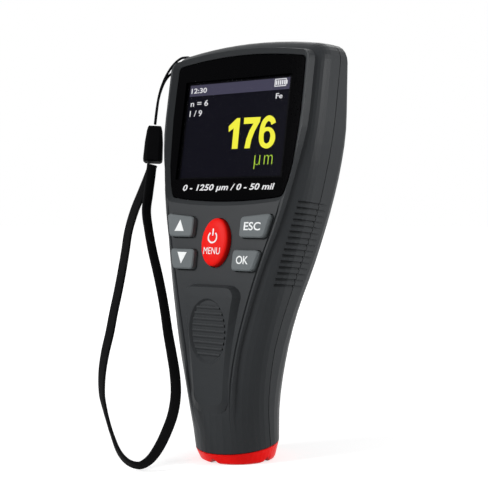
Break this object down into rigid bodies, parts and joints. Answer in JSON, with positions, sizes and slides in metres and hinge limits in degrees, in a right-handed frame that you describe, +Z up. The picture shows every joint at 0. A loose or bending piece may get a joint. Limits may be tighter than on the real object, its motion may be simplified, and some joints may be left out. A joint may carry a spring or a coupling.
{
  "type": "coating thickness gauge",
  "caption": "Handheld coating thickness gauge with a leaning display head, sprung keys, a ribbed thumb pad, a round sprung probe foot, a battery bay in the handle and a wrist strap",
  "frame": {"origin": "middle of the gauge's own box in x and y, at the foot's lower face; the strap is left out of the box", "axes": "+Z up along the gauge, -Y the way the display faces, +X to the right of someone who reads the display"},
  "size_m": [0.0819, 0.0647, 0.1499],
  "materials": {
    "case_plastic": "fine satin texture",
    "window": "polished, smoked border",
    "display_panel": "smooth glass-faced panel",
    "display_backlight": "diffuse white",
    "steel": "turned or rolled",
    "key_grey": "satin",
    "key_red": "satin",
    "silicone": "matt",
    "board_green": "solder mask",
    "chip_black": "moulded",
    "white_nylon": "moulded",
    "buzzer_black": "moulded",
    "cell_jacket": "printed film",
    "nickel_plate": "nickel plated",
    "collar_red": "smooth",
    "tip_carbide": "polished",
    "strap_black": "woven",
    "sleeve_black": "moulded"
  },
  "bodies": {
    "case": {"front_shell": "case_plastic", "back_shell": "case_plastic", "display_window": "window", "display_panel": "display_panel", "display_backlight": "display_backlight", "display_tray": "steel", "key_mat": "silicone", "main_board": "board_green", "processor": "chip_black", "memory_chip": "chip_black", "ribbon_connector": "white_nylon", "probe_connector": "white_nylon", "buzzer": "buzzer_black", "board_screw_1": "steel", "board_screw_2": "steel", "board_screw_3": "steel", "battery_cell_1": "cell_jacket", "battery_cell_2": "cell_jacket", "contact_bridge": "nickel_plate", "contact_positive": "nickel_plate", "contact_negative": "nickel_plate", "contact_spring_1": "nickel_plate", "contact_spring_2": "nickel_plate", "case_screw_1": "steel", "case_screw_2": "steel", "case_screw_3": "steel", "case_screw_4": "steel", "probe_collar": "collar_red", "probe_barrel": "steel", "probe_spring": "nickel_plate", "probe_cap": "white_nylon", "strap_cord": "strap_black", "strap_webbing": "strap_black", "strap_sleeve": "sleeve_black"},
    "up_button": {"key_up": "key_grey"},
    "down_button": {"key_down": "key_grey"},
    "escape_button": {"key_escape": "key_grey"},
    "confirm_button": {"key_confirm": "key_grey"},
    "menu_button": {"key_menu": "key_red"},
    "door": {"battery_door": "case_plastic"},
    "plunger": {"probe_plunger": "steel", "probe_tip": "tip_carbide"}
  },
  "joints": [
    {"name": "key_up_press", "type": "slide", "parent": "case", "child": "up_button", "axis": [0, 0.9839, -0.1788], "range_m": [0, 0.0006], "stiffness_N_per_m": 1500, "springref_m": -0.0002},
    {"name": "key_down_press", "type": "slide", "parent": "case", "child": "down_button", "axis": [0, 0.9839, -0.1788], "range_m": [0, 0.0006], "stiffness_N_per_m": 1500, "springref_m": -0.0002},
    {"name": "key_escape_press", "type": "slide", "parent": "case", "child": "escape_button", "axis": [0, 0.9839, -0.1788], "range_m": [0, 0.0006], "stiffness_N_per_m": 1500, "springref_m": -0.0002},
    {"name": "key_confirm_press", "type": "slide", "parent": "case", "child": "confirm_button", "axis": [0, 0.9839, -0.1788], "range_m": [0, 0.0006], "stiffness_N_per_m": 1500, "springref_m": -0.0002},
    {"name": "key_menu_press", "type": "slide", "parent": "case", "child": "menu_button", "axis": [0, 0.9839, -0.1788], "range_m": [0, 0.0006], "stiffness_N_per_m": 1500, "springref_m": -0.0002},
    {"name": "battery_door_tilt", "type": "hinge", "parent": "case", "child": "door", "pos_m": [0, 0.01553, 0.0749], "axis": [1, 0, 0], "range_deg": [0, 60]},
    {"name": "probe_press", "type": "slide", "parent": "case", "child": "plunger", "axis": [0, 0, 1], "range_m": [0, 0.0015], "stiffness_N_per_m": 600, "springref_m": -0.0003, "deforming": ["probe_spring"]}
  ]
}
